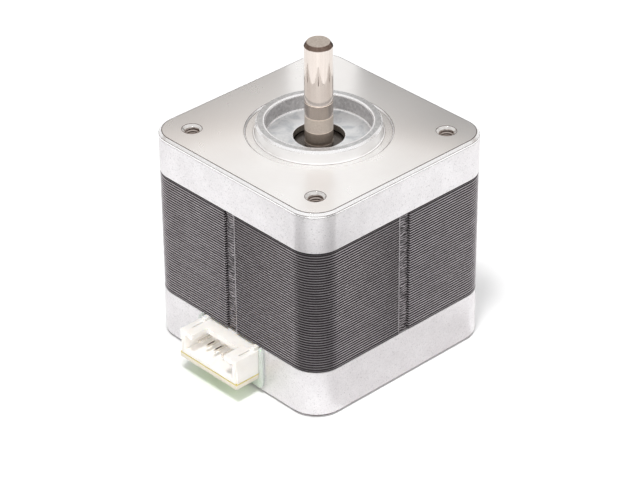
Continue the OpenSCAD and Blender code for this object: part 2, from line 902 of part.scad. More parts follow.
// Outline of a toothed rotor disc, four points to a tooth
module toothed_disc() {
    tip_r = rotor_d / 2;
    root_r = tip_r - rotor_tooth_depth;
    half_tooth = tooth_share * tooth_pitch / 2;
    polygon([for (i = [0 : rotor_teeth - 1], c = [[-1, root_r], [-1, tip_r], [1, tip_r], [1, root_r]])
        let (a = i * tooth_pitch + c[0] * half_tooth)
        [c[1] * cos(a), c[1] * sin(a)]]);
}

// A cup standing on z = 0, with its relieved outer face up
module rotor_cup() {
    difference() {
        linear_extrude(height = cup_h)
            toothed_disc();
        upright(shaft_r, -over, cup_h + over);
        tube(relief_outer_r, relief_inner_r, cup_h - cup_relief_depth, cup_h + over);
    }
}

module front_rotor_cup() {
    color("darkslategray")
    translate([0, 0, magnet_top])
        rotor_cup();
}

module rear_rotor_cup() {
    color("darkslategray")
    translate([0, 0, magnet_bottom])
        mirror([0, 0, 1])
            rotate([0, 0, tooth_pitch / 2])
                rotor_cup();
}

module rotor_magnet() {
    color("black")
    tube(magnet_d / 2, shaft_r, magnet_bottom, magnet_top);
}

module front_spacer() {
    color("tan")
    tube(spacer_d / 2, shaft_r, front_cup_top, front_bearing_top - bearing_w);
}

module rear_spacer() {
    color("tan")
    tube(spacer_d / 2, shaft_r, rear_bearing_top, rear_cup_bottom);
}

front_cover();
rear_cover();
stator_core();
front_insulator();
rear_insulator();
phase_a_windings();
phase_b_windings();
tie_screws();
connector_housing();
connector_pins();
connector_board();
connector_bezel();
terminal_posts();
solder_joints();
front_bearing_outer_ring();
rear_bearing_outer_ring();
front_bearing_shields();
rear_bearing_shields();
wave_washer();
shaft();
front_rotor_cup();
rear_rotor_cup();
rotor_magnet();
front_bearing_inner_ring();
rear_bearing_inner_ring();
front_spacer();
rear_spacer();
front_bearing_balls();
front_bearing_cage();
rear_bearing_balls();
rear_bearing_cage();
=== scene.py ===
"""Looks of a two-phase stepper motor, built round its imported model."""

import math
import random

import bmesh
import bpy
from mathutils import Matrix, Vector


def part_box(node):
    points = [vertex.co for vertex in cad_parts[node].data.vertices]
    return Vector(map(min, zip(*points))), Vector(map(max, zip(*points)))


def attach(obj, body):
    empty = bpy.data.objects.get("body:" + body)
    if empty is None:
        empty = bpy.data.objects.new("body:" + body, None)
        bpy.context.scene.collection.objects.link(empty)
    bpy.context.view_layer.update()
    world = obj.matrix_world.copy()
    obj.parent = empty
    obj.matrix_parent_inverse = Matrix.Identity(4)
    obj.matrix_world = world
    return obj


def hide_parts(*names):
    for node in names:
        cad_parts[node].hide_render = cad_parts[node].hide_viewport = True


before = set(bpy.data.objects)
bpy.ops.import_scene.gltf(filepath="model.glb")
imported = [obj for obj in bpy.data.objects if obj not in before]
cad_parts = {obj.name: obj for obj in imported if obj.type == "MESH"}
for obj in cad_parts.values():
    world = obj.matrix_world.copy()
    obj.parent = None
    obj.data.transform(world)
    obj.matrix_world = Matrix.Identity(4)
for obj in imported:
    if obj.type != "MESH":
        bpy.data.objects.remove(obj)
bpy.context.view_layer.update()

MM = 0.001
IMAGE_W = 640

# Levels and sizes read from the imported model
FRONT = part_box("front_cover")
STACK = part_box("stator_core")
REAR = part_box("rear_cover")
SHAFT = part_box("shaft")
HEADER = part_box("connector_housing")
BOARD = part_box("connector_board")
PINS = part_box("connector_pins")
PILOT_TOP = FRONT[1].z
COVER_UNDER = STACK[1].z
FLOOR_Z = REAR[0].z
STACK_HALF = STACK[1].x

# Sizes of the shaft and the stack
SHAFT_R = 2.5 * MM
STACK_CORNER = 5.15 * MM
LAMINATION_PITCH = 0.5 * MM
NOTCH_W = 2.7 * MM
NOTCH_DEPTH = 0.5 * MM

# Sizes of the connector
HEADER_WALL = 1.1 * MM
HEADER_FLOOR = 0.8 * MM
SOCKET_H = 2.95 * MM
SOCKET_DEPTH = 5.8 * MM
PIN_PITCH = 2.0 * MM

# Sizes of the front cover, whose mounting face is at level 0
COVER_CORNER = 5.3 * MM
PILOT_R = 11.0 * MM
GROOVE_R = 13.0 * MM
GROOVE_DEPTH = 0.30 * MM
RECESS_R = 9.25 * MM
RECESS_FLOOR = -1.0 * MM
SHAFT_HOLE_R = 4.5 * MM
HOLE_PLACE = 15.5 * MM
HOLE_R = 1.25 * MM
HOLE_MOUTH_R = 1.75 * MM
HOLE_DEPTH = 4.5 * MM
THREAD_PITCH = 0.5 * MM
THREAD_TOP = -0.45 * MM
THREAD_TURNS = int((HOLE_DEPTH + THREAD_TOP) / THREAD_PITCH) - 1
CAVITY_R = 18.6 * MM
PLATE_UNDER = -3.2 * MM
SEAT_R = 9.9 * MM
BEARING_R = 8.0 * MM
BEARING_TOP = -2.2 * MM
TAP_R = 1.45 * MM
TAP_TOP = -5.1 * MM

# Edges that count as sharp, and steps of round forms
SHARP = math.radians(30)
RING_STEPS = 192
HOLE_STEPS = 64
TAP_STEPS = 48
THREAD_STEPS = 28
COVER_CORNER_STEPS = 24
SHEET_CORNER_STEPS = 10
ARC_STEPS = 13
CARD_STEPS = 12

# Places of the finishes in the front cover's list of materials
CAST, MILLED, TURNED, WALL, FLOOR, HOLE, LINE, BRIGHT, RIM, GROOVE, BORE, MOUTH_BEVEL = range(12)

# The photograph's camera, fitted to the body's edges; its turn is measured from -Y
CAMERA_TURN = math.radians(46.775)
CAMERA_HEIGHT = math.radians(32.45)
CAMERA_ROLL = math.radians(-0.415)
CAMERA_DISTANCE = 481.97 * MM
CAMERA_ASIDE = 0.175 * MM
CAMERA_ABOVE = -18.982 * MM
FOCAL_PX = 2800.1
SENSOR_W = 36.0

# Light and surroundings
WORLD_LEVEL = 0.45
FLOOR_WHITE = 0.30
FLOOR_DROP = 0.03 * MM
CARD_LIFT = 0.3 * MM
WARM = (1.0, 0.86, 0.76)
NEUTRAL = (1.0, 0.98, 0.98)
BODY_MIDDLE = (0, 0, -0.02)


# Camera

def make_camera():
    """The photograph's camera."""
    back = Vector((
        math.sin(CAMERA_TURN) * math.cos(CAMERA_HEIGHT),
        -math.cos(CAMERA_TURN) * math.cos(CAMERA_HEIGHT),
        math.sin(CAMERA_HEIGHT),
    ))
    level = Vector((math.cos(CAMERA_TURN), math.sin(CAMERA_TURN), 0))
    upright = back.cross(level)
    right = level * math.cos(CAMERA_ROLL) + upright * math.sin(CAMERA_ROLL)
    up = upright * math.cos(CAMERA_ROLL) - level * math.sin(CAMERA_ROLL)
    data = bpy.data.cameras.new("camera")
    data.sensor_width = SENSOR_W
    data.lens = SENSOR_W * FOCAL_PX / IMAGE_W
    data.clip_start = 0.01
    data.clip_end = 10.0
    camera = bpy.data.objects.new("camera", data)
    bpy.context.scene.collection.objects.link(camera)
    place = right * CAMERA_ASIDE + up * CAMERA_ABOVE + back * CAMERA_DISTANCE
    turn = Matrix((right, up, back)).transposed().to_4x4()
    camera.matrix_world = Matrix.Translation(place) @ turn
    bpy.context.scene.camera = camera


# Node materials

def scaled(colour, level):
    """A colour made darker or lighter by a level."""
    return tuple(level * part for part in colour)


class Nodes:
    """A new node material, with short calls for the nodes that the finishes share."""

    def __init__(self, name):
        self.material = bpy.data.materials.new(name)
        self.material.use_nodes = True
        self.tree = self.material.node_tree
        self.tree.nodes.clear()
        self.output = self.add("ShaderNodeOutputMaterial")
        self.shader = self.add("ShaderNodeBsdfPrincipled")
        self.link(self.shader.outputs["BSDF"], self.output.inputs["Surface"])
        self.place = self.add("ShaderNodeTexCoord").outputs["Object"]

    def add(self, kind, **values):
        made = self.tree.nodes.new(kind)
        for key, value in values.items():
            setattr(made, key, value)
        return made

    def link(self, source, target):
        self.tree.links.new(source, target)

    def put(self, **values):
        """Sets the shader's own sockets, with _ for a space in a name."""
        for key, value in values.items():
            self.shader.inputs[key.replace("_", " ")].default_value = value
        return self

    def stretch(self, scale):
        """Object coordinates scaled along each axis."""
        mapping = self.add("ShaderNodeMapping")
        self.link(self.place, mapping.inputs["Vector"])
        mapping.inputs["Scale"].default_value = scale
        return mapping.outputs["Vector"]

    def noise(self, size, detail=3.0, rough=0.55, stretch=(1, 1, 1), distortion=0.0):
        """Noise whose grains are about the given size in metres."""
        made = self.add("ShaderNodeTexNoise")
        self.link(self.stretch(stretch), made.inputs["Vector"])
        made.inputs["Scale"].default_value = 1 / size
        made.inputs["Detail"].default_value = detail
        made.inputs["Roughness"].default_value = rough
        made.inputs["Distortion"].default_value = distortion
        return made.outputs["Fac"]

    def ramp(self, value, *stops):
        """Colours or greys at places from 0 to 1."""
        made = self.add("ShaderNodeValToRGB")
        self.link(value, made.inputs["Fac"])
        points = made.color_ramp.elements
        while len(points) < len(stops):
            points.new(0.5)
        for point, (where, colour) in zip(points, stops):
            point.position = where
            if isinstance(colour, (int, float)):
                colour = (colour, colour, colour)
            point.color = (*colour, 1.0)
        return made.outputs["Color"]

    def spread(self, noise, low, high):
        """Two colours or greys over the middle of a noise's range."""
        return self.ramp(noise, (0.3, low), (0.7, high))

    def mix(self, a, b, factor, blend="MIX"):
        """Two colours mixed; each is a socket or a colour."""
        made = self.add("ShaderNodeMix", data_type="RGBA", blend_type=blend)
        for socket, value in ((made.inputs[0], factor), (made.inputs[6], a), (made.inputs[7], b)):
            if isinstance(value, bpy.types.NodeSocket):
                self.link(value, socket)
            elif isinstance(value, (int, float)):
                socket.default_value = value
            else:
                socket.default_value = (*value, 1.0)
        return made.outputs[2]

    def shaded(self, base, value, *stops, share=1.0):
        """A colour multiplied by the greys of a ramp, in full or to a share."""
        return self.mix(base, self.ramp(value, *stops), share, "MULTIPLY")

    def mottled(self, base, noise, low, share=0.5):
        """A colour made darker where a noise is low."""
        return self.shaded(base, noise, (0.3, low), (0.6, 1.0), share=share)

    def calc(self, operation, a, b=0.0, c=0.0):
        """A calculation with sockets or numbers."""
        made = self.add("ShaderNodeMath", operation=operation)
        for socket, value in zip(made.inputs, (a, b, c)):
            if isinstance(value, bpy.types.NodeSocket):
                self.link(value, socket)
            else:
                socket.default_value = value
        return made.outputs[0]

    def share_of(self, value, start, length):
        """How far a value has come from a start, as a share of a length."""
        return self.calc("DIVIDE", self.calc("SUBTRACT", value, start), length)

    def axes(self):
        """X, Y and Z of the object coordinates."""
        split = self.add("ShaderNodeSeparateXYZ")
        self.link(self.place, split.inputs[0])
        return split.outputs

    def radius(self):
        """Distance from the shaft's axis."""
        x, y, _ = self.axes()
        squares = self.calc("ADD", self.calc("MULTIPLY", x, x), self.calc("MULTIPLY", y, y))
        return self.calc("SQRT", squares)

    def facing_down(self):
        """1 on the faces that look down."""
        split = self.add("ShaderNodeSeparateXYZ")
        self.link(self.add("ShaderNodeNewGeometry").outputs["Normal"], split.inputs[0])
        return self.ramp(self.calc("MULTIPLY", split.outputs[2], -1.0), (0.85, 0.0), (0.95, 1.0))

    def wave(self, value, pitch):
        """0 to 1 and back over each pitch of a length."""
        turned = self.calc("SINE", self.calc("MULTIPLY", value, 2 * math.pi / pitch))
        return self.calc("MULTIPLY_ADD", turned, 0.5, 0.5)

    def bump(self, *layers):
        """Stacked bumps, each a height socket, its depth in metres and its strength."""
        normal = None
        for height, depth, strength in layers:
            made = self.add("ShaderNodeBump")
            made.inputs["Distance"].default_value = depth
            made.inputs["Strength"].default_value = strength
            self.link(height, made.inputs["Height"])
            if normal is not None:
                self.link(normal, made.inputs["Normal"])
            normal = made.outputs["Normal"]
        self.link(normal, self.shader.inputs["Normal"])
        return self

    def colour(self, socket):
        self.link(socket, self.shader.inputs["Base Color"])

    def roughness(self, socket):
        self.link(socket, self.shader.inputs["Roughness"])


def speckled(name, size, low, high, gloss, metallic, depth, strength=0.2, **grain):
    """A finish whose colour, gloss and relief follow one fine noise; gloss is two roughnesses."""
    n = Nodes(name)
    speck = n.noise(size, **grain)
    n.colour(n.spread(speck, low, high))
    n.roughness(n.spread(speck, *gloss))
    return n.put(Metallic=metallic).bump((speck, depth, strength)).material


# Finishes of small and inner parts

def plated_metal(name, low, high, rough):
    """Plated or polished small metal, from a dark and a light colour."""
    gloss = (rough + 0.08, rough)
    return speckled(name, 0.4 * MM, low, high, gloss, metallic=1.0, depth=0.006 * MM, detail=4, rough=0.65)


def plain_plastic(name, low, high, rough):
    """Dull finish with a faint grain, for plastic and the magnet."""
    gloss = (rough + 0.08, rough)
    return speckled(name, 0.3 * MM, low, high, gloss, metallic=0.0, depth=0.008 * MM, strength=0.25)


def enamelled_wire():
    """Copper winding with the lie of its turns."""
    n = Nodes("enamelled_wire")
    turns = n.wave(n.radius(), 0.3 * MM)
    speck = n.noise(0.5 * MM, detail=2)
    gap, crest = (0.25, 0.09, 0.03), (0.72, 0.32, 0.12)
    base = n.ramp(turns, (0.0, gap), (1.0, crest))
    n.colour(n.shaded(base, speck, (0.3, 0.8), (0.7, 1.0), share=0.6))
    n.roughness(n.spread(speck, 0.35, 0.25))
    return n.put(Metallic=0.8).bump((turns, 0.08 * MM, 0.8)).material


# Finishes of the covers

def cast_aluminium(name, shade=1.0):
    """Blasted casting: near white, grainy, with darker pits."""
    n = Nodes(name)
    grain = n.noise(0.30 * MM, detail=5, rough=0.7)
    blotch = n.noise(4 * MM)
    pits = n.ramp(n.noise(0.25 * MM, detail=2), (0.29, 0.0), (0.40, 1.0))
    pit_grey = (0.56, 0.54, 0.55)
    dark, pale = (0.785, 0.762, 0.772), (0.855, 0.835, 0.845)
    # A shade below 1 makes a uniformly darker copy of the finish: painted shade.
    base = n.spread(blotch, scaled(dark, shade), scaled(pale, shade))
    base = n.mottled(base, grain, 0.84, share=0.6)
    n.colour(n.mix(pit_grey, base, pits))
    n.roughness(n.spread(grain, 0.46, 0.34))
    return n.put(Metallic=0.8).bump((grain, 0.03 * MM, 0.45), (pits, 0.02 * MM, 0.3)).material


def turned_finish(name, low, high, rings_depth, rough, along, metallic):
    """Metal turned round the shaft's axis: fine rings, stretched gloss and soft stains."""
    n = Nodes(name)
    stain = n.noise(8 * MM, detail=4, rough=0.6, distortion=0.5)
    rings = n.add("ShaderNodeTexNoise", noise_dimensions="1D")
    n.link(n.radius(), rings.inputs["W"])
    rings.inputs["Scale"].default_value = 1 / (0.10 * MM)
    rings.inputs["Detail"].default_value = 3.0
    ring = rings.outputs["Fac"]
    base = n.ramp(stain, (0.25, low), (0.75, high))
    n.colour(n.shaded(base, ring, (0.3, 0.90), (0.7, 1.0), share=0.5))
    n.roughness(n.ramp(stain, (0.2, rough + 0.05), (0.8, rough)))
    tangent = n.add("ShaderNodeTangent", direction_type="RADIAL", axis="Z")
    n.link(tangent.outputs["Tangent"], n.shader.inputs["Tangent"])
    n.put(Metallic=metallic, Anisotropic=along, Anisotropic_Rotation=0.25)
    return n.bump((ring, rings_depth, 0.2)).material


def milled_plate():
    """Face of the cover round the pilot."""
    low, high = (0.955, 0.925, 0.902), (0.995, 0.975, 0.955)
    return turned_finish("milled_plate", low, high, 0.0012 * MM, rough=0.26, along=0.75, metallic=0.75)


def turned_pilot():
    """Side of the pilot ring and the bearing seat."""
    low, high = (0.93, 0.915, 0.905), (0.985, 0.975, 0.97)
    return turned_finish("turned_pilot", low, high, 0.001 * MM, rough=0.20, along=0.3, metallic=0.45)


def turned_groove():
    """Floor of the groove round the pilot."""
    low, high = (0.88, 0.86, 0.84), (0.97, 0.955, 0.94)
    return turned_finish("turned_groove", low, high, 0.001 * MM, rough=0.20, along=0.5, metallic=0.75)


def foot_shadow_chamfer():
    """Chamfer round the foot of the rear cover, matt and dark: painted contact shadow."""
    n = Nodes("foot_shadow_chamfer")
    speck = n.noise(0.4 * MM)
    # Painted shadow: near black where the cover meets the floor.
    dark, pale = (0.07, 0.05, 0.052), (0.14, 0.105, 0.108)
    n.colour(n.spread(speck, dark, pale))
    n.put(Roughness=0.8, Specular_IOR_Level=0.0)
    return n.bump((speck, 0.01 * MM, 0.2)).material


def edge_line():
    """Shadowed edge where two turned or milled faces meet."""
    dark, pale = (0.08, 0.06, 0.055), (0.20, 0.165, 0.15)
    gloss = (0.5, 0.35)
    return speckled("edge_line", 0.5 * MM, dark, pale, gloss, metallic=0.7, depth=0.01 * MM)


def bright_edge(name, low, high):
    """Freshly cut bevels and rounded rims."""
    n = Nodes(name)
    speck = n.noise(0.6 * MM, detail=4, rough=0.7)
    n.colour(n.ramp(speck, (0.28, low), (0.5, high)))
    n.roughness(n.spread(speck, 0.30, 0.2))
    return n.put(Metallic=0.8).bump((speck, 0.004 * MM, 0.15)).material


def grained_rim():
    """Narrow flat top of the pilot ring: grey, with grains of the casting."""
    n = Nodes("grained_rim")
    speck = n.noise(0.45 * MM, detail=5, rough=0.75)
    dark, grey, pale = (0.46, 0.455, 0.455), (0.66, 0.655, 0.655), (0.88, 0.88, 0.87)
    n.colour(n.ramp(speck, (0.28, dark), (0.5, grey), (0.75, pale)))
    n.roughness(n.spread(speck, 0.45, 0.28))
    return n.put(Metallic=0.9).bump((speck, 0.03 * MM, 0.4)).material


def recess_wall_metal():
    """Cast wall of the recess: dark grey and pitted, with painted light making it pale in the front sector.
    """
    n = Nodes("recess_wall_metal")
    speck = n.noise(0.6 * MM, detail=5, rough=0.75)
    dark, grey, pale = (0.30, 0.285, 0.285), (0.50, 0.485, 0.485), (0.74, 0.73, 0.73)
    pitted = n.ramp(speck, (0.25, dark), (0.55, grey), (0.8, pale))
    # Painted light: the pale colours below are mixed in over the wall's front sector, standing in for light
    # that falls on it from behind the shaft.
    painted_lit_grey, bright = (0.84, 0.79, 0.74), (0.97, 0.93, 0.89)
    painted_light_tone = n.spread(speck, painted_lit_grey, bright)
    x, y, _ = n.axes()
    front = n.calc("DIVIDE", n.calc("SUBTRACT", x, y), RECESS_R * math.sqrt(2))
    n.colour(n.mix(pitted, painted_light_tone, n.ramp(front, (0.1, 0.0), (0.5, 1.0))))
    n.roughness(n.spread(speck, 0.6, 0.42))
    return n.put(Metallic=0.4).bump((speck, 0.05 * MM, 0.5)).material


def recess_floor_metal():
    """Cast floor of the recess: pale and slightly blue, with cloudy stains."""
    n = Nodes("recess_floor_metal")
    cloud = n.noise(4 * MM, detail=4, rough=0.65, distortion=0.8)
    speck = n.noise(0.4 * MM)
    stained, clean, bright = (0.62, 0.64, 0.66), (0.84, 0.845, 0.85), (0.90, 0.90, 0.90)
    base = n.ramp(cloud, (0.36, stained), (0.50, clean), (0.7, bright))
    n.colour(n.mottled(base, speck, 0.88))
    n.roughness(n.spread(speck, 0.38, 0.30))
    return n.put(Metallic=0.75).bump((speck, 0.015 * MM, 0.3)).material


def bore_metal():
    """Dark wall of the opening round the shaft: painted shade of the deep opening."""
    dark, pale = (0.27, 0.235, 0.20), (0.40, 0.355, 0.31)
    gloss = (0.5, 0.3)
    return speckled("bore_metal", 0.5 * MM, dark, pale, gloss, metallic=0.5, depth=0.01 * MM, detail=4)


def hole_metal():
    """Threaded holes: pinkish flanks, with painted shade darkening them with depth."""
    n = Nodes("hole_metal")
    _, _, z = n.axes()
    depth = n.calc("MULTIPLY", z, -1 / HOLE_DEPTH)
    speck = n.noise(0.3 * MM)
    # Painted shade: the colour runs from the mouth to near black at the bottom of the hole.
    mouth, middle, bottom = (0.78, 0.71, 0.67), (0.46, 0.38, 0.34), (0.10, 0.07, 0.06)
    base = n.ramp(depth, (0.0, mouth), (0.35, middle), (0.8, bottom))
    n.colour(n.mottled(base, speck, 0.8))
    n.roughness(n.spread(speck, 0.4, 0.28))
    return n.put(Metallic=1.0).bump((speck, 0.01 * MM, 0.2)).material


# Finishes of the stack

def lamination_steel():
    """Cut edges of the laminations: grey, with painted shade on the near corner and painted shadow on the
    end sheets.
    """
    n = Nodes("lamination_steel")
    streak = n.noise(3 * MM, rough=0.6, stretch=(1, 1, 2))
    speck = n.noise(0.25 * MM, detail=2)
    dark, pale = (0.56, 0.525, 0.545), (0.72, 0.685, 0.705)
    base = n.spread(streak, dark, pale)
    base = n.mottled(base, speck, 0.8)
    x, y, z = n.axes()
    # Painted shade: the sheets turn darker towards the near corner.
    nearer = n.calc("MINIMUM", x, n.calc("MULTIPLY", y, -1.0))
    corner = n.share_of(nearer, STACK_HALF - STACK_CORNER, STACK_CORNER)
    base = n.shaded(base, corner, (0.0, 1.0), (0.25, 0.55), (0.6, 0.48))
    # Painted shadow: the sheets next to the covers, at both ends of the stack, are darkened.
    to_end = n.calc("MINIMUM", n.calc("SUBTRACT", z, STACK[0].z), n.calc("SUBTRACT", STACK[1].z, z))
    sheets = n.calc("DIVIDE", to_end, 2 * LAMINATION_PITCH)
    n.colour(n.shaded(base, sheets, (0.14, 0.12), (0.42, 1.0)))
    n.roughness(n.spread(speck, 0.42, 0.32))
    return n.put(Metallic=0.9).bump((speck, 0.006 * MM, 0.2)).material


def groove_dark():
    """Shadowed steel between and inside the laminations."""
    dark, pale = (0.014, 0.010, 0.012), (0.034, 0.026, 0.030)
    gloss = (0.7, 0.55)
    return speckled("groove_dark", 0.3 * MM, dark, pale, gloss, metallic=0.4, depth=0.01 * MM, strength=0.3)


def notch_steel():
    """Welded floor of the notches: uneven short dashes, one to a lamination."""
    n = Nodes("notch_steel")
    _, _, z = n.axes()
    drift = n.noise(1.3 * MM, detail=2)
    patch = n.noise(0.7 * MM, stretch=(0.6, 0.6, 1))
    dash = n.wave(n.calc("MULTIPLY_ADD", drift, 0.8 * MM, z), LAMINATION_PITCH)
    dark, pale = (0.035, 0.028, 0.032), (0.43, 0.40, 0.415)
    base = n.ramp(dash, (0.35, dark), (0.75, pale))
    n.colour(n.shaded(base, patch, (0.38, 0.45), (0.62, 1.0)))
    n.roughness(n.spread(patch, 0.5, 0.36))
    return n.put(Metallic=0.85).bump((dash, 0.05 * MM, 0.5)).material


# Finishes of the shaft

def polished_steel():
    """Ground and polished shaft: nearly a mirror, with very faint lines along it."""
    n = Nodes("polished_steel")
    lines = n.noise(0.4 * MM, detail=2, stretch=(1, 1, 0.03))
    dark, pale = (0.695, 0.62, 0.57), (0.755, 0.683, 0.633)
    n.colour(n.spread(lines, dark, pale))
    n.roughness(n.spread(lines, 0.07, 0.04))
    return n.put(Metallic=0.88).bump((lines, 0.0004 * MM, 0.05)).material


def ground_steel(name, low, high, metallic):
    """Ground bands of the shaft: satin, with fine lines round it; on some bands the colours given are
    painted shade and painted reflection.
    """
    n = Nodes(name)
    _, _, z = n.axes()
    lines = n.wave(z, 0.08 * MM)
    speck = n.noise(0.3 * MM)
    n.colour(n.shaded(n.spread(speck, low, high), lines, (0.0, 0.9), (1.0, 1.0), share=0.5))
    n.roughness(n.spread(speck, 0.42, 0.32))
    return n.put(Metallic=metallic).bump((lines, 0.001 * MM, 0.2)).material


def turned_steel(name, low, high, rough):
    """Bevel or end face of the shaft: turned and browner."""
    n = Nodes(name)
    rings = n.wave(n.radius(), 0.12 * MM)
    speck = n.noise(0.4 * MM, detail=4, rough=0.7)
    n.colour(n.shaded(n.spread(speck, low, high), rings, (0.0, 0.85), (1.0, 1.0), share=0.5))
    n.roughness(n.spread(speck, rough + 0.1, rough))
    return n.put(Metallic=0.9).bump((rings, 0.003 * MM, 0.2), (speck, 0.01 * MM, 0.2)).material


# Finishes of the connector

def ivory_nylon(name, glow):
    """Natural nylon of the housing; glow stands for the light that its thin walls let through."""
    n = Nodes(name)
    cloud = n.noise(2.5 * MM)
    fine = n.noise(0.15 * MM, detail=2)
    cream, pale = (0.83, 0.80, 0.76), (0.88, 0.855, 0.82)
    tint = n.spread(cloud, cream, pale)
    n.colour(tint)
    n.link(tint, n.shader.inputs["Emission Color"])
    n.roughness(n.spread(fine, 0.36, 0.28))
    n.put(Subsurface_Weight=0.4, Subsurface_Scale=0.6 * MM, Subsurface_Radius=(1.0, 0.9, 0.75))
    n.put(Emission_Strength=glow)
    return n.bump((fine, 0.006 * MM, 0.2), (cloud, 0.02 * MM, 0.15)).material


def bezel_plastic():
    """Pale translucent moulding that fills the cut-out."""
    n = Nodes("bezel_plastic")
    cloud = n.noise(2 * MM)
    fine = n.noise(0.2 * MM, detail=2)
    green, pale = (0.53, 0.575, 0.53), (0.62, 0.66, 0.615)
    n.colour(n.spread(cloud, green, pale))
    n.roughness(n.spread(fine, 0.34, 0.24))
    n.put(Subsurface_Weight=0.4, Subsurface_Scale=0.8 * MM, Subsurface_Radius=(0.8, 1.0, 0.75))
    return n.bump((fine, 0.006 * MM, 0.2)).material


def board_laminate():
    """Circuit board: green mask underneath, cream fibre at the edges, yellow on top."""
    n = Nodes("board_laminate")
    _, _, z = n.axes()
    height = n.share_of(z, BOARD[0].z, BOARD[1].z - BOARD[0].z)
    weave = n.noise(0.35 * MM, stretch=(1, 1, 3))
    fibre, cream, yellow = (0.66, 0.60, 0.50), (0.76, 0.71, 0.60), (0.60, 0.50, 0.16)
    edge = n.ramp(height, (0.0, fibre), (0.74, cream), (0.84, yellow))
    edge = n.mottled(edge, weave, 0.82, share=0.6)
    green, light_green = (0.30, 0.46, 0.08), (0.40, 0.58, 0.13)
    mask = n.spread(weave, green, light_green)
    n.colour(n.mix(edge, mask, n.facing_down()))
    n.roughness(n.spread(weave, 0.4, 0.3))
    return n.bump((weave, 0.01 * MM, 0.25)).material


def pin_shade_streak(n):
    """1 in a streak of painted shade along the second and third pin, just behind their tips."""
    x, y, _ = n.axes()
    across = n.calc("FRACT", n.calc("DIVIDE", x, PIN_PITCH))
    stripe = n.ramp(across, (0.38, 0.0), (0.41, 1.0), (0.56, 1.0), (0.60, 0.0))
    from_tip = n.share_of(y, PINS[0].y, 2 * PIN_PITCH)
    length = n.ramp(from_tip, (0.07, 0.0), (0.12, 1.0), (0.42, 1.0), (0.56, 0.0))
    aside = n.calc("ABSOLUTE", n.calc("ADD", x, PIN_PITCH))
    chosen = n.ramp(n.calc("DIVIDE", aside, 2 * PIN_PITCH), (0.45, 1.0), (0.55, 0.0))
    return n.calc("MULTIPLY", n.calc("MULTIPLY", stripe, length), chosen)


def pin_metal():
    """Tinned pins: pale, with a dark streak of painted shade on two of them."""
    n = Nodes("tinned_brass")
    speck = n.noise(0.4 * MM, detail=4, rough=0.65)
    pale = n.spread(speck, (0.82, 0.79, 0.74), (0.93, 0.91, 0.87))
    # Painted shade: the dark colour is mixed in along the streak.
    dark = n.spread(speck, (0.10, 0.075, 0.065), (0.18, 0.14, 0.12))
    n.colour(n.mix(pale, dark, pin_shade_streak(n)))
    n.roughness(n.spread(speck, 0.20, 0.12))
    return n.put(Metallic=0.85).bump((speck, 0.006 * MM, 0.2)).material


# Meshes

def add_piece(name, mesh, body, materials):
    """A new object of the part, riding on a body."""
    made = bpy.data.objects.new(name, mesh)
    bpy.context.scene.collection.objects.link(made)
    for material in materials:
        mesh.materials.append(material)
    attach(made, body)
    return made


def soften(made, width):
    """Rounds the hard edges of a piece."""
    bevel = made.modifiers.new("round_edges", "BEVEL")
    bevel.width = width
    bevel.segments = 3
    bevel.limit_method = "ANGLE"
    bevel.angle_limit = SHARP
    bevel.use_clamp_overlap = True
    bevel.miter_outer = "MITER_ARC"
    bevel.harden_normals = True


def cleaned_copy(node):
    """The node's mesh, welded and with its flat faces joined."""
    work = bmesh.new()
    work.from_mesh(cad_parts[node].data)
    bmesh.ops.remove_doubles(work, verts=work.verts, dist=0.002 * MM)
    bmesh.ops.dissolve_limit(work, angle_limit=math.radians(0.4), verts=work.verts, edges=work.edges)
    for face in work.faces:
        face.smooth = True
    mesh = bpy.data.meshes.new(node + "_form")
    work.to_mesh(mesh)
    work.free()
    mesh.materials.clear()
    mesh.set_sharp_from_angle(angle=SHARP)
    return mesh


def softened(node, materials, width, pick=None):
    """A piece with rounded edges that stands for a CAD node; pick gives a face's material number."""
    mesh = cleaned_copy(node)
    made = add_piece(node + "_form", mesh, "housing", materials)
    if pick:
        for face in mesh.polygons:
            face.material_index = pick(face.center, face.normal)
    soften(made, width)
    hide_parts(node)


class Skin:
    """A mesh made of loops of points, joined by bands and closed by flat faces."""

    def __init__(self):
        self.work = bmesh.new()

    def loop(self, points, level):
        return [self.work.verts.new((x, y, level)) for x, y in points]

    def band(self, low, high, finish):
        """A ring of faces between two loops."""
        for j in range(len(low)):
            m = (j + 1) % len(low)
            face = self.work.faces.new((low[j], low[m], high[m], high[j]))
            face.material_index = finish
            face.smooth = True

    def wrap(self, outline_of, rows):
        """Bands between loops; each row is a size, a level and the finish of the band that ends there."""
        loops = []
        for size, level, finish in rows:
            loops.append(self.loop(outline_of(size), level))
            if len(loops) > 1:
                self.band(loops[-2], loops[-1], finish)
        return loops[0], loops[-1]

    def flat(self, loops, finish):
        """One flat face inside the first loop, with the other loops as its holes."""
        edges = []
        for loop in loops:
            for a, b in zip(loop, loop[1:] + loop[:1]):
                edges.append(self.work.edges.get((a, b)) or self.work.edges.new((a, b)))
        made = bmesh.ops.triangle_fill(self.work, use_beauty=True, use_dissolve=False, edges=edges)
        for item in made["geom"]:
            if isinstance(item, bmesh.types.BMFace):
                item.material_index = finish
                item.smooth = False

    def finished(self, name, angle=8):
        """The mesh, with edges sharper than an angle in degrees kept sharp."""
        bmesh.ops.recalc_face_normals(self.work, faces=self.work.faces)
        mesh = bpy.data.meshes.new(name)
        self.work.to_mesh(mesh)
        self.work.free()
        mesh.set_sharp_from_angle(angle=math.radians(angle))
        return mesh


def profile(size, level, *rows):
    """Rows for wrap, given in mm from a size and a level; the first row of a form ends no band."""
    return [(size + out * MM, level + up * MM, finish) for out, up, finish in rows]


